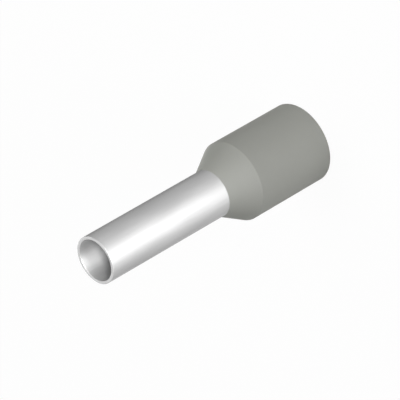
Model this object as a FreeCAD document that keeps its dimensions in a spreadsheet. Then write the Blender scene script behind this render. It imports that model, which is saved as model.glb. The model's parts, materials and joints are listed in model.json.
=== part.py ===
"""Insulated wire ferrule: a tin-plated copper crimp sleeve held in a moulded plastic collar.

Millimetres. The ferrule stands on the collar's wire-entry end: Z = 0 is that end face, the
origin is its centre, and +Z runs along the axis to the tip of the sleeve. Both pieces are
turned from one section each, drawn on the XZ plane with the radius along the sketch's
horizontal axis and the height along its vertical axis.
"""
import FreeCAD, Part
import math
import os
from collections import namedtuple

import Sketcher
from FreeCAD import Vector

# Driving dimensions: name, value and meaning. Millimetres, and degrees for the angle.
SIZES = (
    ("tube_bore", 2.8, "inside diameter of the sleeve's tube, for the bare conductor"),
    ("tube_wall", 0.2, "sheet thickness of the sleeve, tube and flare alike"),
    ("tube_reach", 10.0, "length of tube that stands out of the collar"),
    ("tip_break", 0.03, "edge break on both edges of the sleeve's cut tip"),
    ("collar_length", 8.0, "length of the collar along the axis"),
    ("collar_bore", 4.8, "inside diameter of the collar's barrel, for the wire's insulation"),
    ("collar_wall", 0.3, "wall thickness of the collar's barrel"),
    ("nose_wall", 0.3, "wall thickness of the collar's nose, square to its slope"),
    ("cone_angle", 30.0, "slope of the nose, the seat and the flare, measured from the axis"),
    ("bend_radius", 0.25, "radius of the seat's edge, round which the tube is flared"),
    ("flare_gap", 0.1, "clearance between the flare's rim and the collar's bore"),
    ("entry_edge", 0.06, "radius on both edges of the collar's wire-entry end"),
)

# Names of an edge's two ends, and of the middle of an arc, as sketch constraints count them.
START = 1
END = 2
CENTRE = 3

# The sketch's own origin, and its horizontal axis, as sketch constraints name them.
ORIGIN = (-1, START)
HORIZONTAL_AXIS = -1

# Largest share of a wall that one rounded or broken edge may take.
EDGE_SHARE = 0.4

# Radii and heights that both sections share, as rules on the sheet's cells. Above the bend the
# nose grips the straight tube; the grip is as long as the nose's wall is thick there, less
# what the rounded edge of the seat takes.
TUBE_INSIDE = "Sizes.tube_bore / 2"
TUBE_OUTSIDE = TUBE_INSIDE + " + Sizes.tube_wall"
COLLAR_INSIDE = "Sizes.collar_bore / 2"
COLLAR_OUTSIDE = COLLAR_INSIDE + " + Sizes.collar_wall"
TIP_HEIGHT = "Sizes.collar_length + Sizes.tube_reach"
TIP_EDGE = f"min(Sizes.tip_break; {EDGE_SHARE} * Sizes.tube_wall)"
ENTRY_RADIUS = f"min(Sizes.entry_edge; {EDGE_SHARE} * Sizes.collar_wall)"
CONE_ANGLE = "Sizes.cone_angle * 1 deg"
BEND_HEIGHT = (
    "Sizes.collar_length - Sizes.nose_wall / sin(Sizes.cone_angle * 1 deg)"
    " + Sizes.bend_radius * tan(Sizes.cone_angle * 0.5 deg)"
)

# An edge of a section: its number in the sketch, and which of its ends comes first on the
# way round the section.
Edge = namedtuple("Edge", "number first last")


def fill_sheet(document):
    """Write the driving dimensions into a sheet, one row each, and give each cell its alias."""
    sheet = document.addObject("Spreadsheet::Sheet", "Sizes")
    for row, (name, value, meaning) in enumerate(SIZES, start=1):
        sheet.set(f"A{row}", name)
        sheet.set(f"B{row}", str(value))
        sheet.set(f"C{row}", meaning)
        sheet.setAlias(f"B{row}", name)
    document.recompute()
    return sheet


def read_sizes(sheet):
    """Read the sheet's cells back and add the radii and heights that both pieces share."""
    size = {name: float(sheet.get(name)) for name, _, _ in SIZES}
    slope = math.radians(size["cone_angle"])
    tube_inside = size["tube_bore"] / 2
    collar_inside = size["collar_bore"] / 2
    size["slope"] = slope
    size["down_slope"] = Vector(math.sin(slope), -math.cos(slope), 0)
    size["off_slope"] = Vector(math.cos(slope), math.sin(slope), 0)
    size["tube_inside_radius"] = tube_inside
    size["tube_outside_radius"] = tube_inside + size["tube_wall"]
    size["collar_inside_radius"] = collar_inside
    size["collar_outside_radius"] = collar_inside + size["collar_wall"]
    size["flare_radius"] = collar_inside - size["flare_gap"]
    grip = size["nose_wall"] / math.sin(slope) - size["bend_radius"] * math.tan(slope / 2)
    size["bend_height"] = size["collar_length"] - grip
    size["tip_height"] = size["collar_length"] + size["tube_reach"]
    size["tip_edge"] = min(size["tip_break"], EDGE_SHARE * size["tube_wall"])
    size["entry_radius"] = min(size["entry_edge"], EDGE_SHARE * size["collar_wall"])
    return size


def start_body(document, label):
    """Make an empty body and a sketch that lies on the body's own XZ plane."""
    body = document.addObject("PartDesign::Body", label)
    body.Label = label
    sketch = body.newObject("Sketcher::SketchObject", label + "_section")
    planes = [item for item in body.Origin.OriginFeatures if item.Role == "XZ_Plane"]
    sketch.AttachmentSupport = (planes[0], [""])
    sketch.MapMode = "FlatFace"
    return body, sketch


def add_line(sketch, start, end):
    """Add a straight edge."""
    return Edge(sketch.addGeometry(Part.LineSegment(start, end), False), START, END)


def add_arc(sketch, centre, radius, start_angle, end_angle):
    """Add an arc between two angles in radians; the way round it follows from their order."""
    circle = Part.Circle(centre, Vector(0, 0, 1), radius)
    low, high = sorted((start_angle, end_angle))
    number = sketch.addGeometry(Part.ArcOfCircle(circle, low, high), False)
    if start_angle < end_angle:
        return Edge(number, START, END)
    return Edge(number, END, START)


def close_section(sketch, edges, smooth_joints):
    """Join each edge to the next, all the way round, smoothly at the joints that are listed."""
    for place, edge in enumerate(edges):
        following = edges[(place + 1) % len(edges)]
        joint = "Tangent" if (edge, following) in smooth_joints else "Coincident"
        sketch.addConstraint(
            Sketcher.Constraint(joint, edge.number, edge.last, following.number, following.first)
        )


def fix_size(sketch, name, constraint, expression):
    """Add a dimension to the sketch, name it and bind it to the sheet."""
    number = sketch.addConstraint(constraint)
    sketch.renameConstraint(number, name)
    sketch.setExpression("Constraints." + name, expression)


def fix_radius_at(sketch, name, edge, expression):
    """Set how far from the axis the start of an edge lies."""
    drawn = sketch.getPoint(edge.number, edge.first).x
    constraint = Sketcher.Constraint("DistanceX", *ORIGIN, edge.number, edge.first, drawn)
    fix_size(sketch, name, constraint, expression)


def fix_height_at(sketch, name, edge, expression):
    """Set how high above the wire-entry end the start of an edge lies."""
    drawn = sketch.getPoint(edge.number, edge.first).y
    constraint = Sketcher.Constraint("DistanceY", *ORIGIN, edge.number, edge.first, drawn)
    fix_size(sketch, name, constraint, expression)


def turn_section(body, sketch, label):
    """Turn the section once round the axis."""
    solid = body.newObject("PartDesign::Revolution", label + "_turned")
    solid.Profile = sketch
    solid.ReferenceAxis = (sketch, ["V_Axis"])
    solid.Angle = 360
    sketch.Visibility = False
    return body


def make_crimp_sleeve(document, size):
    """Thin tube with a cut tip, whose hidden end is flared into a funnel of the same sheet.

    The section starts at the tip's face and goes down the outside, round the flare's rim and
    up the inside.
    """
    body, sketch = start_body(document, "crimp_sleeve")

    inside = size["tube_inside_radius"]
    outside = size["tube_outside_radius"]
    tip = size["tip_height"]
    edge_break = size["tip_edge"]
    bend = size["bend_height"]
    outer_bend = size["bend_radius"]
    inner_bend = outer_bend + size["tube_wall"]
    flat = math.pi
    sloped = math.pi + size["slope"]

    bend_centre = Vector(outside + outer_bend, bend, 0)
    outer_bend_end = bend_centre - size["off_slope"] * outer_bend
    inner_bend_end = bend_centre - size["off_slope"] * inner_bend
    flare_run = (size["flare_radius"] - outer_bend_end.x) / math.sin(size["slope"])
    outer_rim = outer_bend_end + size["down_slope"] * flare_run
    inner_rim = inner_bend_end + size["down_slope"] * flare_run

    tip_face = add_line(
        sketch, Vector(inside + edge_break, tip, 0), Vector(outside - edge_break, tip, 0)
    )
    outer_break = add_line(
        sketch, Vector(outside - edge_break, tip, 0), Vector(outside, tip - edge_break, 0)
    )
    tube_outside = add_line(
        sketch, Vector(outside, tip - edge_break, 0), Vector(outside, bend, 0)
    )
    outer_bend_arc = add_arc(sketch, bend_centre, outer_bend, flat, sloped)
    flare_outside = add_line(sketch, outer_bend_end, outer_rim)
    rim = add_line(sketch, outer_rim, inner_rim)
    flare_inside = add_line(sketch, inner_rim, inner_bend_end)
    inner_bend_arc = add_arc(sketch, bend_centre, inner_bend, sloped, flat)
    tube_inside = add_line(
        sketch, Vector(inside, bend, 0), Vector(inside, tip - edge_break, 0)
    )
    inner_break = add_line(
        sketch, Vector(inside, tip - edge_break, 0), Vector(inside + edge_break, tip, 0)
    )

    edges = [
        tip_face, outer_break, tube_outside, outer_bend_arc, flare_outside,
        rim, flare_inside, inner_bend_arc, tube_inside, inner_break,
    ]
    smooth_joints = [
        (tube_outside, outer_bend_arc), (outer_bend_arc, flare_outside),
        (flare_inside, inner_bend_arc), (inner_bend_arc, tube_inside),
    ]
    close_section(sketch, edges, smooth_joints)

    sketch.addConstraint([
        Sketcher.Constraint("Horizontal", tip_face.number),
        Sketcher.Constraint("Vertical", tube_outside.number),
        Sketcher.Constraint("Vertical", tube_inside.number),
        Sketcher.Constraint("Parallel", flare_inside.number, flare_outside.number),
        Sketcher.Constraint("Perpendicular", rim.number, flare_outside.number),
        Sketcher.Constraint(
            "Coincident", outer_bend_arc.number, CENTRE, inner_bend_arc.number, CENTRE
        ),
    ])

    fix_radius_at(sketch, "inside_radius", tube_inside, TUBE_INSIDE)
    fix_radius_at(sketch, "outside_radius", tube_outside, TUBE_OUTSIDE)
    fix_radius_at(sketch, "tip_face_start", tip_face, TUBE_INSIDE + " + " + TIP_EDGE)
    fix_radius_at(sketch, "tip_face_end", outer_break, TUBE_OUTSIDE + " - " + TIP_EDGE)
    fix_radius_at(sketch, "flare_radius", rim, COLLAR_INSIDE + " - Sizes.flare_gap")
    fix_height_at(sketch, "tip_height", tip_face, TIP_HEIGHT)
    fix_height_at(sketch, "outer_break_height", tube_outside, TIP_HEIGHT + " - " + TIP_EDGE)
    fix_height_at(sketch, "inner_break_height", inner_break, TIP_HEIGHT + " - " + TIP_EDGE)
    fix_height_at(sketch, "bend_height", outer_bend_arc, BEND_HEIGHT)
    fix_size(
        sketch, "bend_radius",
        Sketcher.Constraint("Radius", outer_bend_arc.number, outer_bend),
        "Sizes.bend_radius",
    )
    fix_size(
        sketch, "flare_slope",
        Sketcher.Constraint(
            "Angle", tube_outside.number, tube_outside.first,
            flare_outside.number, flare_outside.first, size["slope"],
        ),
        CONE_ANGLE,
    )
    return turn_section(body, sketch, "crimp_sleeve")


def make_insulating_collar(document, size):
    """Moulded collar: round barrel with a tapered nose, bored for the insulation.

    Its conical seat and the rounded edge above it carry the sleeve's flare, and the ring in
    its nose grips the tube. The section starts at the nose's front edge and goes down the
    outside, across the wire-entry end and up the inside.
    """
    body, sketch = start_body(document, "insulating_collar")

    grip = size["tube_outside_radius"]
    inside = size["collar_inside_radius"]
    outside = size["collar_outside_radius"]
    front = size["collar_length"]
    bend = size["bend_height"]
    seat_edge = size["bend_radius"]
    rounding = size["entry_radius"]
    flat = math.pi
    sloped = math.pi + size["slope"]

    seat_edge_centre = Vector(grip + seat_edge, bend, 0)
    seat_start = seat_edge_centre - size["off_slope"] * seat_edge
    seat_run = (inside - seat_start.x) / math.sin(size["slope"])
    seat_end = seat_start + size["down_slope"] * seat_run
    nose_run = (outside - grip) / math.sin(size["slope"])
    nose_front = Vector(grip, front, 0)
    nose_end = nose_front + size["down_slope"] * nose_run

    nose = add_line(sketch, nose_front, nose_end)
    barrel = add_line(sketch, nose_end, Vector(outside, rounding, 0))
    outer_edge = add_arc(
        sketch, Vector(outside - rounding, rounding, 0), rounding, 0, -math.pi / 2
    )
    entry_face = add_line(
        sketch, Vector(outside - rounding, 0, 0), Vector(inside + rounding, 0, 0)
    )
    inner_edge = add_arc(
        sketch, Vector(inside + rounding, rounding, 0), rounding, math.pi * 3 / 2, flat
    )
    bore = add_line(sketch, Vector(inside, rounding, 0), seat_end)
    seat = add_line(sketch, seat_end, seat_start)
    seat_edge_arc = add_arc(sketch, seat_edge_centre, seat_edge, sloped, flat)
    grip_ring = add_line(sketch, Vector(grip, bend, 0), nose_front)

    edges = [
        nose, barrel, outer_edge, entry_face, inner_edge, bore, seat, seat_edge_arc, grip_ring,
    ]
    smooth_joints = [
        (barrel, outer_edge), (outer_edge, entry_face), (entry_face, inner_edge),
        (inner_edge, bore), (seat, seat_edge_arc), (seat_edge_arc, grip_ring),
    ]
    close_section(sketch, edges, smooth_joints)

    sketch.addConstraint([
        Sketcher.Constraint("Vertical", barrel.number),
        Sketcher.Constraint("Horizontal", entry_face.number),
        Sketcher.Constraint("Vertical", bore.number),
        Sketcher.Constraint("Vertical", grip_ring.number),
        Sketcher.Constraint("Parallel", seat.number, nose.number),
        Sketcher.Constraint("Equal", inner_edge.number, outer_edge.number),
        Sketcher.Constraint("PointOnObject", entry_face.number, START, HORIZONTAL_AXIS),
    ])

    fix_radius_at(sketch, "grip_radius", grip_ring, TUBE_OUTSIDE)
    fix_radius_at(sketch, "inside_radius", bore, COLLAR_INSIDE)
    fix_radius_at(sketch, "outside_radius", barrel, COLLAR_OUTSIDE)
    fix_height_at(sketch, "front_height", nose, "Sizes.collar_length")
    fix_height_at(sketch, "bend_height", grip_ring, BEND_HEIGHT)
    fix_size(
        sketch, "seat_edge_radius",
        Sketcher.Constraint("Radius", seat_edge_arc.number, seat_edge),
        "Sizes.bend_radius",
    )
    fix_size(
        sketch, "entry_radius",
        Sketcher.Constraint("Radius", outer_edge.number, rounding),
        ENTRY_RADIUS,
    )
    fix_size(
        sketch, "nose_slope",
        Sketcher.Constraint(
            "Angle", grip_ring.number, grip_ring.last, nose.number, nose.first, size["slope"]
        ),
        CONE_ANGLE,
    )
    return turn_section(body, sketch, "insulating_collar")


def check_document(document, pieces):
    """Stop if an object failed to rebuild, a section is loose or a piece isn't one solid."""
    for item in document.Objects:
        if "Invalid" in item.State or "Error" in item.State:
            raise RuntimeError(f"{item.Label} did not rebuild: {item.State}")
        if item.isDerivedFrom("Sketcher::SketchObject") and not item.FullyConstrained:
            raise RuntimeError(f"{item.Label} is not fully constrained")
    for piece in pieces:
        if piece.Shape.isNull() or not piece.Shape.isValid() or len(piece.Shape.Solids) != 1:
            raise RuntimeError(f"{piece.Label} is not one valid solid")


def export_pieces(pieces):
    """Write each piece to its own file."""
    os.makedirs("parts", exist_ok=True)
    for piece in pieces:
        piece.Shape.exportStep(f"parts/{piece.Label}.step")
        print(piece.Label, "volume", round(piece.Shape.Volume, 4), "mm3")


def main():
    document = FreeCAD.newDocument("wire_ferrule")
    size = read_sizes(fill_sheet(document))
    pieces = [
        make_crimp_sleeve(document, size),
        make_insulating_collar(document, size),
    ]
    document.recompute()
    check_document(document, pieces)
    export_pieces(pieces)


main()
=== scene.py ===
"""Insulated wire ferrule: a tin-plated copper crimp sleeve in a moulded plastic collar.

Laid out as an add-on, with one operator for each piece and one for the stage. Everything is in
metres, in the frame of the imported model: the ferrule stands on the collar's wire-entry end, with
the origin in the middle of that end face and +Z along the axis, towards the sleeve's tip.
"""
import json
import math

import bmesh
import bpy
from bpy.props import FloatProperty, FloatVectorProperty, IntProperty, PointerProperty
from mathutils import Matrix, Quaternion, Vector


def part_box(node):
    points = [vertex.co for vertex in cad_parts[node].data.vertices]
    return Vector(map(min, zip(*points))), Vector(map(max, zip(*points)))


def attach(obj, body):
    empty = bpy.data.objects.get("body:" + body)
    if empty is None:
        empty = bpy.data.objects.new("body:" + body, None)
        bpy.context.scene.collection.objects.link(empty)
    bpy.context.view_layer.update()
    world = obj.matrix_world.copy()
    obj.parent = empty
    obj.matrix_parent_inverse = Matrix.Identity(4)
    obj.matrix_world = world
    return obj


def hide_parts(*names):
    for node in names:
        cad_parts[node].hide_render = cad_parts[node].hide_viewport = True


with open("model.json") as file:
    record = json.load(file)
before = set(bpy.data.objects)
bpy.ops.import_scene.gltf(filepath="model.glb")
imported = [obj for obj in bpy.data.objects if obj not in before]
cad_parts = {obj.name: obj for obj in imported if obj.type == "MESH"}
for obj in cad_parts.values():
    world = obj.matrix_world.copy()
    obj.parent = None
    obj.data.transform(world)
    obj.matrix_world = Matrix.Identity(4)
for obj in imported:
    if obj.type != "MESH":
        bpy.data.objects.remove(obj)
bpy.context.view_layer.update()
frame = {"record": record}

bl_info = {
    "name": "Wire ferrule",
    "version": (1, 0, 0),
    "blender": (4, 5, 0),
    "location": "3D View > Sidebar > Ferrule",
    "description": "Makes an insulated wire ferrule, its materials and a small photo stage",
    "category": "Add Mesh",
}

MM = 0.001

# How far a piece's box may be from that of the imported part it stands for.
FIT_ALLOWED = 0.03 * MM

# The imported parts, and the pieces that stand for them here.
SLEEVE_NODE = "crimp_sleeve"
COLLAR_NODE = "insulating_collar"
SLEEVE_PIECE = "crimp_sleeve_tinned"
COLLAR_PIECE = "insulating_collar_moulded"

MOUNTS = {mount["name"]: mount for mount in frame["record"]["mounts"]}


def mount_radius(name):
    """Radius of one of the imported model's mounts, in metres."""
    return MOUNTS[name]["dims"]["r_mm"] * MM


def mount_bottom(name):
    """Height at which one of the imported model's mounts begins, in metres."""
    return MOUNTS[name]["pos_m"][2] - MOUNTS[name]["dims"]["length_mm"] * MM / 2


def linear(hex_colour):
    """Turn an sRGB hex colour into linear red, green and blue."""
    channels = [int(hex_colour[start:start + 2], 16) / 255 for start in (1, 3, 5)]
    return [c / 12.92 if c <= 0.04045 else ((c + 0.055) / 1.055) ** 2.4 for c in channels]


class FerruleSleeveSettings(bpy.types.PropertyGroup):
    """Sizes and finish of the metal sleeve."""

    bore_radius: FloatProperty(
        name="Bore radius", description="Inside radius of the tube",
        default=mount_radius("conductor_bore"), min=0.0002, subtype="DISTANCE", precision=5,
    )
    outside_radius: FloatProperty(
        name="Outside radius", description="Outside radius of the tube",
        default=mount_radius("contact_sleeve"), min=0.0003, subtype="DISTANCE", precision=5,
    )
    tip_height: FloatProperty(
        name="Tip height", description="Height of the cut tip above the wire-entry end",
        default=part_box(SLEEVE_NODE)[1].z, min=0.001, subtype="DISTANCE", precision=5,
    )
    flare_radius: FloatProperty(
        name="Flare radius", description="Outside radius of the flare's rim",
        default=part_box(SLEEVE_NODE)[1].x, min=0.0004, subtype="DISTANCE", precision=5,
    )
    edge_rounding: FloatProperty(
        name="Edge rounding", description="Radius left on the sheet's cut edges",
        default=0.01 * MM, min=0.0, subtype="DISTANCE", precision=6,
    )
    colour: FloatVectorProperty(
        name="Plating colour", description="Colour of the tin plating, seen face on",
        default=linear("#949494"), size=3, min=0.0, max=1.0, subtype="COLOR",
    )
    edge_colour: FloatVectorProperty(
        name="Grazing tint", description="Tint of the plating's reflection near grazing angles",
        default=linear("#7C7C7C"), size=3, min=0.0, max=1.0, subtype="COLOR",
    )
    roughness: FloatProperty(
        name="Roughness", description="Average roughness of the satin plating",
        default=0.51, min=0.05, max=1.0, subtype="FACTOR",
    )


class FerruleCollarSettings(bpy.types.PropertyGroup):
    """Sizes and finish of the plastic collar."""

    bore_radius: FloatProperty(
        name="Bore radius", description="Inside radius of the barrel",
        default=mount_radius("insulation_bore"), min=0.0003, subtype="DISTANCE", precision=5,
    )
    barrel_radius: FloatProperty(
        name="Barrel radius", description="Outside radius of the barrel",
        default=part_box(COLLAR_NODE)[1].x, min=0.0004, subtype="DISTANCE", precision=5,
    )
    length: FloatProperty(
        name="Length", description="Length of the collar along the axis",
        default=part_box(COLLAR_NODE)[1].z, min=0.001, subtype="DISTANCE", precision=5,
    )
    entry_rounding: FloatProperty(
        name="Entry rounding", description="Radius on both edges of the wire-entry end",
        default=0.06 * MM, min=0.0, subtype="DISTANCE", precision=6,
    )
    crease_rounding: FloatProperty(
        name="Crease rounding", description="Radius where the nose meets the barrel",
        default=0.05 * MM, min=0.0, subtype="DISTANCE", precision=6,
    )
    colour: FloatVectorProperty(
        name="Plastic colour", description="Colour of the moulding compound",
        default=linear("#969791"), size=3, min=0.0, max=1.0, subtype="COLOR",
    )
    roughness: FloatProperty(
        name="Roughness", description="Average roughness of the moulded skin",
        default=0.80, min=0.05, max=1.0, subtype="FACTOR",
    )


class FerruleShapeSettings(bpy.types.PropertyGroup):
    """Sizes that both pieces share."""

    bend_height: FloatProperty(
        name="Bend height", description="Height at which the tube starts to flare",
        default=mount_bottom("conductor_bore"), min=0.0, subtype="DISTANCE", precision=5,
    )
    bend_radius: FloatProperty(
        name="Bend radius", description="Radius of the seat's edge, round which the tube bends",
        default=0.25 * MM, min=0.0, subtype="DISTANCE", precision=5,
    )
    slope: FloatProperty(
        name="Slope", description="Slope of the nose, the seat and the flare, from the axis",
        default=math.radians(30), min=0.1, max=1.4, subtype="ANGLE",
    )
    steps_round: IntProperty(
        name="Steps round", description="Number of faces round the axis",
        default=192, min=24, max=512,
    )
    steps_corner: IntProperty(
        name="Steps per corner", description="Number of points put into each rounded corner",
        default=6, min=1, max=32,
    )


class FerruleStageSettings(bpy.types.PropertyGroup):
    """Floor and camera; the lamps are listed in LAMPS."""

    floor_colour: FloatVectorProperty(
        name="Floor colour", description="Colour of the plain floor",
        default=linear("#F2F2F2"), size=3, min=0.0, max=1.0, subtype="COLOR",
    )
    camera_elevation: FloatProperty(
        name="Camera elevation", description="Angle of the camera above the horizon",
        default=math.radians(35.264), subtype="ANGLE",
    )
    camera_roll: FloatProperty(
        name="Camera roll", description="Turn of the camera about its own line of sight",
        default=math.radians(-120), subtype="ANGLE",
    )
    camera_distance: FloatProperty(
        name="Camera distance", description="Distance from the camera to the ferrule's middle",
        default=216 * MM, min=0.02, subtype="DISTANCE",
    )
    focal_length: FloatProperty(
        name="Focal length", description="Focal length on a 36 mm sensor, in millimetres",
        default=312.1, min=20.0, subtype="DISTANCE_CAMERA",
    )


# Geometry trees and materials use the same kind of node for sums.
MATH_NODE = "ShaderNodeMath"


def add_node(tree, kind, settings=None, inputs=None):
    """Add a node, apply its settings, and set or link its inputs, named or numbered."""
    node = tree.nodes.new(kind)
    for name, value in (settings or {}).items():
        setattr(node, name, value)
    for key, value in (inputs or {}).items():
        if isinstance(value, bpy.types.Node):
            value = value.outputs[0]
        if isinstance(value, bpy.types.NodeSocket):
            tree.links.new(value, node.inputs[key])
        else:
            node.inputs[key].default_value = value
    return node


def start_geometry_tree(name, inputs):
    """Make a node tree with a geometry output and the named inputs given as name and kind.

    A tree of that name is emptied and used again.
    """
    tree = bpy.data.node_groups.get(name) or bpy.data.node_groups.new(name, "GeometryNodeTree")
    tree.nodes.clear()
    tree.interface.clear()
    tree.interface.new_socket("Geometry", in_out="OUTPUT", socket_type="NodeSocketGeometry")
    for label, kind in inputs:
        tree.interface.new_socket(label, in_out="INPUT", socket_type=kind)
    return tree, tree.nodes.new("NodeGroupInput").outputs


TURNED_SECTION = "Turned section"

# Number of corners in each piece's section.
CORNERS = 6

# Points nearer to each other than this are one point, as along the seam.
MERGE_DISTANCE = 0.001 * MM

# Edges that turn by less than this are shaded smooth.
GENTLE_ANGLE = math.radians(25)

# The inputs that both pieces' trees end with.
SHARED_INPUTS = [
    ("Bend height", "NodeSocketFloat"),
    ("Bend radius", "NodeSocketFloat"),
    ("Slope", "NodeSocketFloat"),
    ("Steps round", "NodeSocketInt"),
    ("Steps per corner", "NodeSocketInt"),
    ("Material", "NodeSocketMaterial"),
]


def turned_section_tree():
    """Node group that turns a closed section of six corners once round the Z axis.

    A corner is a vector: X is its radius and Z its height. Each corner has its own rounding.
    The group is made once. Both pieces' trees use it, so it isn't emptied and made again.
    """
    ready = bpy.data.node_groups.get(TURNED_SECTION)
    if ready:
        return ready
    named = [(f"Corner {corner}", "NodeSocketVector") for corner in range(CORNERS)]
    named += [(f"Rounding {corner}", "NodeSocketFloat") for corner in range(CORNERS)]
    named += [("Steps round", "NodeSocketInt"), ("Steps per corner", "NodeSocketInt")]
    tree, given = start_geometry_tree(TURNED_SECTION, named)

    # The section: six points in a ring, put at their corners, then rounded. An index switch
    # starts with two items.
    number = add_node(tree, "GeometryNodeInputIndex")
    place = add_node(tree, "GeometryNodeIndexSwitch", {"data_type": "VECTOR"}, {0: number})
    rounding = add_node(tree, "GeometryNodeIndexSwitch", {"data_type": "FLOAT"}, {0: number})
    for _ in range(CORNERS - 2):
        place.index_switch_items.new()
        rounding.index_switch_items.new()
    for corner in range(CORNERS):
        tree.links.new(given[f"Corner {corner}"], place.inputs[corner + 1])
        tree.links.new(given[f"Rounding {corner}"], rounding.inputs[corner + 1])
    ring = add_node(tree, "GeometryNodeCurvePrimitiveCircle", {"mode": "RADIUS"},
                    {"Resolution": CORNERS})
    corners = add_node(tree, "GeometryNodeSetPosition", None,
                       {"Geometry": ring, "Position": place})
    rounded = add_node(tree, "GeometryNodeFilletCurve", {"mode": "POLY"},
                       {"Curve": corners, "Radius": rounding, "Count": given["Steps per corner"]})
    count = add_node(tree, "GeometryNodeAttributeDomainSize", {"component": "CURVE"},
                     {"Geometry": rounded}).outputs["Point Count"]

    # The skin: a grid with one row of points for each step round the axis. Its last row and
    # its last column lie on the first ones and are merged with them.
    columns = add_node(tree, MATH_NODE, {"operation": "ADD"}, {0: count, 1: 1.0})
    rows = add_node(tree, MATH_NODE, {"operation": "ADD"},
                    {0: given["Steps round"], 1: 1.0})
    grid = add_node(tree, "GeometryNodeMeshGrid", None, {"Vertices X": rows, "Vertices Y": columns})
    unwrapped = add_node(tree, "GeometryNodeStoreNamedAttribute",
                         {"data_type": "FLOAT2", "domain": "CORNER"},
                         {"Geometry": grid, "Name": "UVMap", "Value": grid.outputs["UV Map"]})
    column = add_node(tree, MATH_NODE, {"operation": "MODULO"}, {0: number, 1: columns})
    row = add_node(tree, MATH_NODE, {"operation": "DIVIDE"}, {0: number, 1: columns})
    whole_row = add_node(tree, MATH_NODE, {"operation": "FLOOR"}, {0: row})
    step = add_node(tree, MATH_NODE, {"operation": "DIVIDE"},
                    {0: whole_row, 1: given["Steps round"]})
    turn = add_node(tree, MATH_NODE, {"operation": "MULTIPLY"}, {0: step, 1: math.tau})
    section_point = add_node(tree, MATH_NODE, {"operation": "MODULO"}, {0: column, 1: count})
    section_place = add_node(tree, "GeometryNodeSampleIndex",
                             {"data_type": "FLOAT_VECTOR", "domain": "POINT"},
                             {"Geometry": rounded,
                              "Value": add_node(tree, "GeometryNodeInputPosition"),
                              "Index": section_point})
    turned_place = add_node(tree, "ShaderNodeVectorRotate", {"rotation_type": "Z_AXIS"},
                            {"Vector": section_place, "Angle": turn})
    skin = add_node(tree, "GeometryNodeSetPosition", None,
                    {"Geometry": unwrapped, "Position": turned_place})
    closed = add_node(tree, "GeometryNodeMergeByDistance", None,
                      {"Geometry": skin, "Distance": MERGE_DISTANCE})
    # The corners run clockwise, so the grid's faces point into the wall. Turn them outwards.
    outward = add_node(tree, "GeometryNodeFlipFaces", None, {"Mesh": closed})
    add_node(tree, "NodeGroupOutput", None, {0: outward})
    return tree


def finish_piece_tree(tree, geometry, material):
    """Shade the piece smooth except over its crisp edges, and end its tree."""
    angle = add_node(tree, "GeometryNodeInputMeshEdgeAngle")
    gentle = add_node(tree, "FunctionNodeCompare", {"operation": "LESS_THAN"},
                      {0: angle, 1: GENTLE_ANGLE})
    smooth_faces = add_node(tree, "GeometryNodeSetShadeSmooth", {"domain": "FACE"},
                            {"Geometry": geometry, "Shade Smooth": True})
    smooth = add_node(tree, "GeometryNodeSetShadeSmooth", {"domain": "EDGE"},
                      {"Geometry": smooth_faces, "Shade Smooth": gentle})
    real = add_node(tree, "GeometryNodeRealizeInstances", None, {"Geometry": smooth})
    coated = add_node(tree, "GeometryNodeSetMaterial", None,
                      {"Geometry": real, "Material": material})
    add_node(tree, "NodeGroupOutput", None, {0: coated})


def bend_corner_height(tree, given, radius):
    """Height of the sharp corner that a bend of that radius, begun at the bend height, rounds off."""
    half_slope = add_node(tree, MATH_NODE, {"operation": "MULTIPLY"}, {0: given["Slope"], 1: 0.5})
    half_tangent = add_node(tree, MATH_NODE, {"operation": "TANGENT"}, {0: half_slope})
    cut = add_node(tree, MATH_NODE, {"operation": "MULTIPLY"}, {0: radius, 1: half_tangent})
    return add_node(tree, MATH_NODE, {"operation": "SUBTRACT"}, {0: given["Bend height"], 1: cut})


def height_down_slope(tree, given, height, narrow, wide):
    """Height at which a slope that leaves the narrow radius at a height reaches the wide one."""
    tangent = add_node(tree, MATH_NODE, {"operation": "TANGENT"}, {0: given["Slope"]})
    spread = add_node(tree, MATH_NODE, {"operation": "SUBTRACT"}, {0: wide, 1: narrow})
    drop = add_node(tree, MATH_NODE, {"operation": "DIVIDE"}, {0: spread, 1: tangent})
    return add_node(tree, MATH_NODE, {"operation": "SUBTRACT"}, {0: height, 1: drop})


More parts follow.
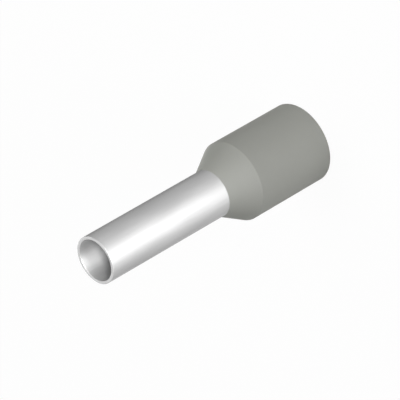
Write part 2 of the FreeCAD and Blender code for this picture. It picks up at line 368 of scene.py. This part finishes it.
def sleeve_tree(turned_section):
    """Node tree of the sleeve: one strip of sheet, straight as the tube and bent as the flare."""
    tree, given = start_geometry_tree("Crimp sleeve", [
        ("Bore radius", "NodeSocketFloat"),
        ("Outside radius", "NodeSocketFloat"),
        ("Tip height", "NodeSocketFloat"),
        ("Flare radius", "NodeSocketFloat"),
        ("Edge rounding", "NodeSocketFloat"),
        *SHARED_INPUTS,
    ])
    wall = add_node(tree, MATH_NODE, {"operation": "SUBTRACT"},
                    {0: given["Outside radius"], 1: given["Bore radius"]})
    sine = add_node(tree, MATH_NODE, {"operation": "SINE"}, {0: given["Slope"]})
    cosine = add_node(tree, MATH_NODE, {"operation": "COSINE"}, {0: given["Slope"]})

    # The bend's inner radius is on the outside of the tube, against the collar's seat.
    outer_bend_z = bend_corner_height(tree, given, given["Bend radius"])
    inner_bend = add_node(tree, MATH_NODE, {"operation": "ADD"},
                          {0: given["Bend radius"], 1: wall})
    inner_bend_z = bend_corner_height(tree, given, inner_bend)

    # The flare's rim is square to its slope.
    outer_rim_z = height_down_slope(tree, given, outer_bend_z,
                                    given["Outside radius"], given["Flare radius"])
    rim_inset = add_node(tree, MATH_NODE, {"operation": "MULTIPLY"}, {0: wall, 1: cosine})
    inner_rim = add_node(tree, MATH_NODE, {"operation": "SUBTRACT"},
                         {0: given["Flare radius"], 1: rim_inset})
    rim_drop = add_node(tree, MATH_NODE, {"operation": "MULTIPLY"}, {0: wall, 1: sine})
    inner_rim_z = add_node(tree, MATH_NODE, {"operation": "SUBTRACT"},
                           {0: outer_rim_z, 1: rim_drop})

    corners = [
        (given["Bore radius"], given["Tip height"], given["Edge rounding"]),
        (given["Outside radius"], given["Tip height"], given["Edge rounding"]),
        (given["Outside radius"], outer_bend_z, given["Bend radius"]),
        (given["Flare radius"], outer_rim_z, given["Edge rounding"]),
        (inner_rim, inner_rim_z, given["Edge rounding"]),
        (given["Bore radius"], inner_bend_z, inner_bend),
    ]
    turn_and_finish(tree, turned_section, corners, given)
    return tree


def collar_tree(turned_section):
    """Node tree of the collar: round barrel, tapered nose and a conical seat for the flare."""
    tree, given = start_geometry_tree("Insulating collar", [
        ("Grip radius", "NodeSocketFloat"),
        ("Bore radius", "NodeSocketFloat"),
        ("Barrel radius", "NodeSocketFloat"),
        ("Length", "NodeSocketFloat"),
        ("Entry rounding", "NodeSocketFloat"),
        ("Crease rounding", "NodeSocketFloat"),
        *SHARED_INPUTS,
    ])
    # The nose falls from the grip radius to the barrel's radius.
    crease_z = height_down_slope(tree, given, given["Length"],
                                 given["Grip radius"], given["Barrel radius"])

    # The seat falls from the rounded edge of the grip to the bore.
    seat_edge_z = bend_corner_height(tree, given, given["Bend radius"])
    seat_end_z = height_down_slope(tree, given, seat_edge_z,
                                   given["Grip radius"], given["Bore radius"])

    corners = [
        (given["Grip radius"], given["Length"], 0.0),
        (given["Barrel radius"], crease_z, given["Crease rounding"]),
        (given["Barrel radius"], 0.0, given["Entry rounding"]),
        (given["Bore radius"], 0.0, given["Entry rounding"]),
        (given["Bore radius"], seat_end_z, 0.0),
        (given["Grip radius"], seat_edge_z, given["Bend radius"]),
    ]
    turn_and_finish(tree, turned_section, corners, given)
    return tree


def turn_and_finish(tree, turned_section, corners, given):
    """Feed the corners, each a radius, a height and a rounding, to the turning group."""
    inputs = {
        "Steps round": given["Steps round"],
        "Steps per corner": given["Steps per corner"],
    }
    for number, (radius, height, rounding) in enumerate(corners):
        inputs[f"Corner {number}"] = add_node(tree, "ShaderNodeCombineXYZ", None,
                                              {"X": radius, "Z": height})
        inputs[f"Rounding {number}"] = rounding
    turned = add_node(tree, "GeometryNodeGroup", {"node_tree": turned_section}, inputs)
    finish_piece_tree(tree, turned, given["Material"])


def add_object(name, data):
    """Put an object with that name and data into the scene, in place of an older one."""
    old = bpy.data.objects.get(name)
    if old:
        bpy.data.objects.remove(old)
    added = bpy.data.objects.new(name, data)
    bpy.context.scene.collection.objects.link(added)
    return added


def shape_values(shape):
    """The sizes that both pieces share, under the names of the trees' inputs."""
    return {
        "Bend height": shape.bend_height,
        "Bend radius": shape.bend_radius,
        "Slope": shape.slope,
        "Steps round": shape.steps_round,
        "Steps per corner": shape.steps_corner,
    }


def make_piece(name, tree, values):
    """Run a geometry tree with the given inputs and return its result as a plain mesh object."""
    piece = add_object(name, bpy.data.meshes.new(name))
    modifier = piece.modifiers.new("Shape", "NODES")
    modifier.node_group = tree
    for item in tree.interface.items_tree:
        if item.in_out == "INPUT":
            modifier[item.identifier] = values[item.name]
    # Large faces set the normals, at full weight, so the roundings leave the straight walls alone.
    weights = piece.modifiers.new("Weighted normals", "WEIGHTED_NORMAL")
    weights.keep_sharp = True
    weights.weight = 100
    graph = bpy.context.evaluated_depsgraph_get()
    mesh = bpy.data.meshes.new_from_object(
        piece.evaluated_get(graph), preserve_all_data_layers=True, depsgraph=graph
    )
    piece.modifiers.clear()
    piece.data = mesh
    mesh.name = name
    # The grid brings an empty material slot of its own, so the slots are filled again.
    mesh.materials.clear()
    mesh.materials.append(values["Material"])
    mesh.polygons.foreach_set("material_index", [0] * len(mesh.polygons))
    check_skin(piece)
    return piece


def check_skin(piece):
    """Stop if a piece is empty, if its skin is open, or if its faces point into the wall."""
    skin = bmesh.new()
    skin.from_mesh(piece.data)
    closed = all(edge.is_manifold for edge in skin.edges)
    volume = skin.calc_volume(signed=True)
    skin.free()
    if not closed or volume <= 0:
        raise RuntimeError(f"{piece.name} is empty, open or inside out")


def check_fit(name, node):
    """Stop if the box of the piece of that name is too far from its node's box."""
    low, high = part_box(node)
    vertices = bpy.data.objects[name].data.vertices
    for axis in range(3):
        places = [vertex.co[axis] for vertex in vertices]
        miss = max(abs(min(places) - low[axis]), abs(max(places) - high[axis]))
        if miss > FIT_ALLOWED:
            raise RuntimeError(f"{name} does not fill the box of {node} on axis {axis}")


def per_metre(millimetres):
    """Noise scale, in repeats per metre, of a pattern of that size."""
    return 1000 / millimetres


# Where the Mix node keeps its factor and its two colours, and where its mixed colour comes out.
MIX_FACTOR = 0
MIX_FIRST = 6
MIX_SECOND = 7
MIX_RESULT = 2


def shade(colour, brightness):
    """The colour made brighter or darker, with full alpha."""
    return (*(channel * brightness for channel in colour), 1)


def start_material(name):
    """Make an empty node material and return it with its tree."""
    material = bpy.data.materials.get(name) or bpy.data.materials.new(name)
    material.use_nodes = True
    material.node_tree.nodes.clear()
    return material, material.node_tree


def tinned_copper_tube(settings):
    """Drawn copper tube, electroplated with matte tin.

    Tin is a soft grey-white metal. Plated on a drawn tube it gives a satin, cloudy reflection
    with no sharp image in it, a trace of the draw lines along the tube and slightly uneven gloss.
    """
    material, tree = start_material("matte_tin_plated_drawn_copper")
    place = add_node(tree, "ShaderNodeTexCoord").outputs["Object"]

    # Draw lines: real ones are about 0.01 mm apart and too fine to show, so these are 0.09 mm
    # apart round the tube, and deeper in proportion. They run the tube's length, so the
    # pattern is stretched 60 times.
    along = add_node(tree, "ShaderNodeMapping", None, {"Vector": place, "Scale": (1, 1, 1 / 60)})
    lines = add_node(tree, "ShaderNodeTexNoise", None,
                     {"Vector": along, "Scale": per_metre(0.09), "Detail": 3.0, "Roughness": 0.6})
    # Plating cloud: patches about 0.7 mm wide and five times as long, because the plating
    # follows the drawn skin. Each is slightly brighter or duller than its neighbours.
    drawn_out = add_node(tree, "ShaderNodeMapping", None, {"Vector": place, "Scale": (1, 1, 1 / 5)})
    cloud = add_node(tree, "ShaderNodeTexNoise", None,
                     {"Vector": drawn_out, "Scale": per_metre(0.7), "Detail": 4.0,
                      "Roughness": 0.55})
    # Crystal grain of the matte tin: real grains are about 0.005 mm; drawn at 0.05 mm.
    grain = add_node(tree, "ShaderNodeTexNoise", None,
                     {"Vector": place, "Scale": per_metre(0.05), "Detail": 2.0})

    colour = add_node(tree, "ShaderNodeMix", {"data_type": "RGBA"}, {
        MIX_FACTOR: cloud,
        MIX_FIRST: shade(settings.colour, 0.97),
        MIX_SECOND: shade(settings.colour, 1.03),
    })
    roughness = add_node(tree, "ShaderNodeMapRange", None, {
        "Value": cloud, "From Min": 0.3, "From Max": 0.7,
        "To Min": settings.roughness - 0.015, "To Max": settings.roughness + 0.015,
    })
    line_relief = add_node(tree, "ShaderNodeBump", None,
                           {"Strength": 0.35, "Distance": 0.015 * MM, "Height": lines})
    relief = add_node(tree, "ShaderNodeBump", None,
                      {"Strength": 0.35, "Distance": 0.004 * MM, "Height": grain,
                       "Normal": line_relief})
    shader = add_node(tree, "ShaderNodeBsdfPrincipled", None, {
        "Base Color": colour.outputs[MIX_RESULT],
        "Metallic": 1.0,
        "Roughness": roughness,
        "Specular Tint": (*settings.edge_colour, 1),
        "Normal": relief,
    })
    add_node(tree, "ShaderNodeOutputMaterial", None, {"Surface": shader})
    return material


def moulded_polypropylene(settings):
    """Injection-moulded polypropylene, coloured through in warm grey.

    The compound is opaque and even. The mould's fine spark-eroded face gives it a soft satin
    skin: broad, weak highlights, and a grain that is felt more than seen.
    """
    material, tree = start_material("moulded_grey_polypropylene")
    place = add_node(tree, "ShaderNodeTexCoord").outputs["Object"]

    # Pigment cloud: very faint, patches about 1.5 mm wide.
    cloud = add_node(tree, "ShaderNodeTexNoise", None,
                     {"Vector": place, "Scale": per_metre(1.5), "Detail": 3.0})
    # Mould grain: real spark-eroded pits are about 0.02 mm; drawn at 0.08 mm.
    grain = add_node(tree, "ShaderNodeTexNoise", None,
                     {"Vector": place, "Scale": per_metre(0.08), "Detail": 3.0, "Roughness": 0.6})

    colour = add_node(tree, "ShaderNodeMix", {"data_type": "RGBA"}, {
        MIX_FACTOR: cloud,
        MIX_FIRST: shade(settings.colour, 0.98),
        MIX_SECOND: shade(settings.colour, 1.02),
    })
    roughness = add_node(tree, "ShaderNodeMapRange", None, {
        "Value": grain, "From Min": 0.3, "From Max": 0.7,
        "To Min": settings.roughness - 0.05, "To Max": settings.roughness + 0.05,
    })
    relief = add_node(tree, "ShaderNodeBump", None,
                      {"Strength": 0.4, "Distance": 0.002 * MM, "Height": grain})
    shader = add_node(tree, "ShaderNodeBsdfPrincipled", None, {
        "Base Color": colour.outputs[MIX_RESULT],
        "Metallic": 0.0,
        "Roughness": roughness,
        "IOR": 1.49,
        "Specular IOR Level": 0.2,
        "Normal": relief,
    })
    add_node(tree, "ShaderNodeOutputMaterial", None, {"Surface": shader})
    return material


# How white the floor and the surroundings look to the camera and in metal. The rest of what is
# seen there is lit, and that part shows the object's shadow.
BACKGROUND_SHARE = 0.95


def background_share(tree):
    """How much of the plain white background a ray sees: camera, glossy and transmission rays."""
    path = add_node(tree, "ShaderNodeLightPath")
    seen = add_node(tree, MATH_NODE, {"operation": "ADD"},
                    {0: path.outputs["Is Camera Ray"], 1: path.outputs["Is Glossy Ray"]})
    seen_through = add_node(tree, MATH_NODE, {"operation": "ADD", "use_clamp": True},
                            {0: seen, 1: path.outputs["Is Transmission Ray"]})
    return add_node(tree, MATH_NODE, {"operation": "MULTIPLY"},
                    {0: seen_through, 1: BACKGROUND_SHARE})


def matte_studio_floor(settings):
    """Matte white laminate floor: pale and even, with no gloss, so it carries a soft shadow."""
    material, tree = start_material("matte_white_laminate_floor")
    shadowed = add_node(tree, "ShaderNodeBsdfDiffuse", None,
                        {"Color": (*settings.floor_colour, 1)})
    white = add_node(tree, "ShaderNodeEmission", None, {"Color": (1, 1, 1, 1), "Strength": 1.0})
    mixed = add_node(tree, "ShaderNodeMixShader", None,
                     {0: background_share(tree), 1: shadowed, 2: white})
    add_node(tree, "ShaderNodeOutputMaterial", None, {"Surface": mixed})
    material.cycles.emission_sampling = "NONE"
    return material


def direction(azimuth, elevation):
    """Unit vector from the ferrule: azimuth 0 is towards -Y and 90 towards +X, in radians."""
    return Vector((
        math.sin(azimuth) * math.cos(elevation),
        -math.cos(azimuth) * math.cos(elevation),
        math.sin(elevation),
    ))


FLOOR_HALF_SIDE = 0.6
LAMP_DISTANCE = 0.20
ROOM_STRENGTH = 0.14
SENSOR_WIDTH = 36

# Each lamp: its name, azimuth and elevation in degrees, the side of its square in metres, its
# watts, and whether it lights dull surfaces too or is only seen in glossy ones.
LAMPS = (
    # Lights the front of both pieces, from a little to the left.
    ("key_softbox", -15, 25, 0.11, 0.19, True),
    # Lights the nose and the rim from above, so that the nose stands out from the barrel.
    ("top_softbox", 90, 70, 0.12, 0.22, True),
    # Gives the metal its broad sheen, and lights the inside of the tip.
    ("sheen_lamp", -10, 35, 0.06, 3.4, False),
    # Gives the metal the bright middle of its highlight.
    ("low_strip", -20, 5, 0.06, 0.85, False),
    # Lights the back of both pieces.
    ("back_softbox", 175, 15, 0.12, 0.12, True),
    # Gives the back of the metal a highlight of its own.
    ("back_strip", 165, 5, 0.06, 0.5, False),
)


def make_floor(settings):
    """Make the floor, a plain square under the ferrule."""
    half = FLOOR_HALF_SIDE
    mesh = bpy.data.meshes.new("floor")
    mesh.from_pydata(
        [(-half, -half, 0), (half, -half, 0), (half, half, 0), (-half, half, 0)],
        [], [(0, 1, 2, 3)],
    )
    mesh.materials.append(matte_studio_floor(settings))
    return add_object("floor", mesh)


def make_lamps(middle):
    """Make the lamps, all at one distance from the ferrule's middle and turned towards it."""
    for name, azimuth, elevation, side, watts, on_dull in LAMPS:
        lamp = bpy.data.lights.new(name, "AREA")
        lamp.size = side
        lamp.energy = watts
        toward = direction(math.radians(azimuth), math.radians(elevation))
        lamp_object = add_object(name, lamp)
        lamp_object.location = middle + toward * LAMP_DISTANCE
        lamp_object.rotation_euler = toward.to_track_quat("Z", "Y").to_euler()
        lamp_object.visible_camera = False
        lamp_object.visible_diffuse = on_dull


def studio_room():
    """Surroundings that look plain white and light the ferrule faintly from all sides."""
    world = bpy.data.worlds.get("studio_room") or bpy.data.worlds.new("studio_room")
    world.use_nodes = True
    tree = world.node_tree
    tree.nodes.clear()
    room = add_node(tree, "ShaderNodeBackground", None,
                    {"Color": (1, 1, 1, 1), "Strength": ROOM_STRENGTH})
    white = add_node(tree, "ShaderNodeBackground", None,
                     {"Color": (1, 1, 1, 1), "Strength": 1.0})
    mixed = add_node(tree, "ShaderNodeMixShader", None,
                     {0: background_share(tree), 1: room, 2: white})
    add_node(tree, "ShaderNodeOutputWorld", None, {"Surface": mixed})
    world.cycles.sampling_method = "NONE"
    return world


def make_camera(settings, middle):
    """Make the camera, aimed at the ferrule's middle and rolled about its line of sight."""
    camera = bpy.data.cameras.new("camera")
    camera.sensor_width = SENSOR_WIDTH
    camera.lens = settings.focal_length
    # Nearer and further than anything on the stage.
    camera.clip_start = 0.01
    camera.clip_end = 2.0
    back = direction(0, settings.camera_elevation)
    look = (-back).to_track_quat("-Z", "Y") @ Quaternion((0, 0, 1), settings.camera_roll)
    camera_object = add_object("camera", camera)
    camera_object.location = middle + back * settings.camera_distance
    camera_object.rotation_mode = "QUATERNION"
    camera_object.rotation_quaternion = look
    return camera_object


class FERRULE_OT_make_sleeve(bpy.types.Operator):
    """Make the tin-plated crimp sleeve"""

    bl_idname = "ferrule.make_sleeve"
    bl_label = "Make sleeve"

    def execute(self, context):
        sleeve = context.scene.ferrule_sleeve
        piece = make_piece(SLEEVE_PIECE, sleeve_tree(turned_section_tree()), {
            "Bore radius": sleeve.bore_radius,
            "Outside radius": sleeve.outside_radius,
            "Tip height": sleeve.tip_height,
            "Flare radius": sleeve.flare_radius,
            "Edge rounding": sleeve.edge_rounding,
            **shape_values(context.scene.ferrule_shape),
            "Material": tinned_copper_tube(sleeve),
        })
        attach(piece, "root")
        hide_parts(SLEEVE_NODE)
        return {"FINISHED"}


class FERRULE_OT_make_collar(bpy.types.Operator):
    """Make the moulded insulating collar"""

    bl_idname = "ferrule.make_collar"
    bl_label = "Make collar"

    def execute(self, context):
        sleeve = context.scene.ferrule_sleeve
        collar = context.scene.ferrule_collar
        piece = make_piece(COLLAR_PIECE, collar_tree(turned_section_tree()), {
            "Grip radius": sleeve.outside_radius,
            "Bore radius": collar.bore_radius,
            "Barrel radius": collar.barrel_radius,
            "Length": collar.length,
            "Entry rounding": collar.entry_rounding,
            "Crease rounding": collar.crease_rounding,
            **shape_values(context.scene.ferrule_shape),
            "Material": moulded_polypropylene(collar),
        })
        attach(piece, "root")
        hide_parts(COLLAR_NODE)
        return {"FINISHED"}


class FERRULE_OT_make_stage(bpy.types.Operator):
    """Make the floor, the lamps and the camera"""

    bl_idname = "ferrule.make_stage"
    bl_label = "Make stage"

    def execute(self, context):
        scene = context.scene
        settings = scene.ferrule_stage
        middle = Vector((0, 0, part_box(SLEEVE_NODE)[1].z / 2))

        floor = make_floor(settings)
        make_lamps(middle)
        scene.world = studio_room()
        scene.camera = make_camera(settings, middle)
        scene.view_settings.view_transform = "Standard"
        return {"FINISHED"}


class FERRULE_PT_panel(bpy.types.Panel):
    """Sizes, colours and buttons of the wire ferrule"""

    bl_idname = "FERRULE_PT_panel"
    bl_label = "Wire ferrule"
    bl_space_type = "VIEW_3D"
    bl_region_type = "UI"
    bl_category = "Ferrule"

    def draw(self, context):
        scene = context.scene
        for heading, settings, operator in (
            ("Shape", scene.ferrule_shape, None),
            ("Sleeve", scene.ferrule_sleeve, "ferrule.make_sleeve"),
            ("Collar", scene.ferrule_collar, "ferrule.make_collar"),
            ("Stage", scene.ferrule_stage, "ferrule.make_stage"),
        ):
            box = self.layout.box()
            box.label(text=heading)
            for name in settings.__annotations__:
                box.prop(settings, name)
            if operator:
                box.operator(operator)


GROUPS = {
    "ferrule_shape": FerruleShapeSettings,
    "ferrule_sleeve": FerruleSleeveSettings,
    "ferrule_collar": FerruleCollarSettings,
    "ferrule_stage": FerruleStageSettings,
}
CLASSES = (
    *GROUPS.values(),
    FERRULE_OT_make_sleeve,
    FERRULE_OT_make_collar,
    FERRULE_OT_make_stage,
    FERRULE_PT_panel,
)


def register():
    """Add the settings, the operators and the panel to Blender."""
    for item in CLASSES:
        bpy.utils.register_class(item)
    for name, group in GROUPS.items():
        setattr(bpy.types.Scene, name, PointerProperty(type=group))


def unregister():
    """Take the settings, the operators and the panel away again."""
    for name in GROUPS:
        delattr(bpy.types.Scene, name)
    for item in reversed(CLASSES):
        bpy.utils.unregister_class(item)


def main():
    """Make everything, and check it."""
    register()
    bpy.ops.ferrule.make_stage()
    bpy.ops.ferrule.make_sleeve()
    bpy.ops.ferrule.make_collar()
    # The operators take any size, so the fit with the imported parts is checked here.
    check_fit(SLEEVE_PIECE, SLEEVE_NODE)
    check_fit(COLLAR_PIECE, COLLAR_NODE)


if __name__ == "__main__":
    main()
